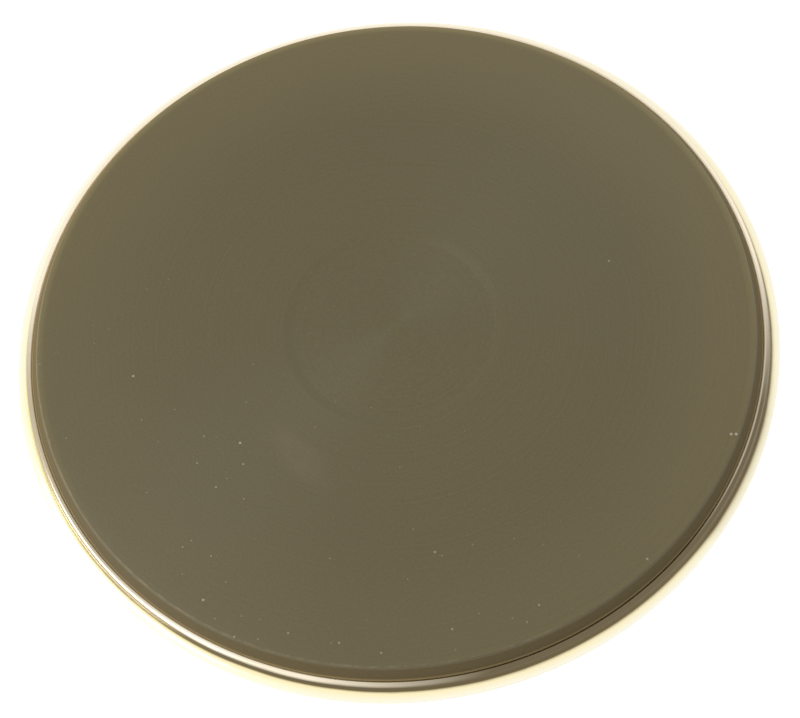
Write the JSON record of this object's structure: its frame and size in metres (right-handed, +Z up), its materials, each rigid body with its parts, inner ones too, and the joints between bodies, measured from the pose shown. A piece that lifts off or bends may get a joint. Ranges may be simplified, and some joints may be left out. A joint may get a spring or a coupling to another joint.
{
  "type": "solid hotplate",
  "caption": "Round sealed cast iron hotplate with a shallow centre recess and a stainless spill ring, screw terminals and a fixing stud underneath.",
  "frame": {"origin": "centre of the spill ring's seat, level with the hob's surface", "axes": "+Z up to the cooking face, -Y towards the terminal block"},
  "size_m": [0.1928, 0.1928, 0.044],
  "materials": {
    "coated_cast_iron": "matte",
    "stainless_sheet": "polished",
    "aluminised_sheet": "satin",
    "zinc_plated_steel": "satin",
    "nickel_wire": "satin",
    "brass": "satin",
    "steatite": "matte",
    "pressed_filling": "matte",
    "coil_in_filling": "matte"
  },
  "bodies": {
    "root": {"plate_body": "coated_cast_iron", "spill_ring": "stainless_sheet", "outer_heating_coil": "coil_in_filling", "middle_heating_coil": "coil_in_filling", "inner_heating_coil": "coil_in_filling", "insulating_bed": "pressed_filling", "first_lead": "nickel_wire", "second_lead": "nickel_wire", "third_lead": "nickel_wire", "fourth_lead": "nickel_wire", "lead_bushes": "steatite", "bottom_cover": "aluminised_sheet", "centre_stud": "zinc_plated_steel", "spring_washer": "zinc_plated_steel", "earth_tag": "brass", "terminal_bracket": "aluminised_sheet", "terminal_block": "steatite", "terminal_clamps": "brass", "terminal_screws": "zinc_plated_steel", "block_rivet": "zinc_plated_steel"}
  },
  "joints": []
}
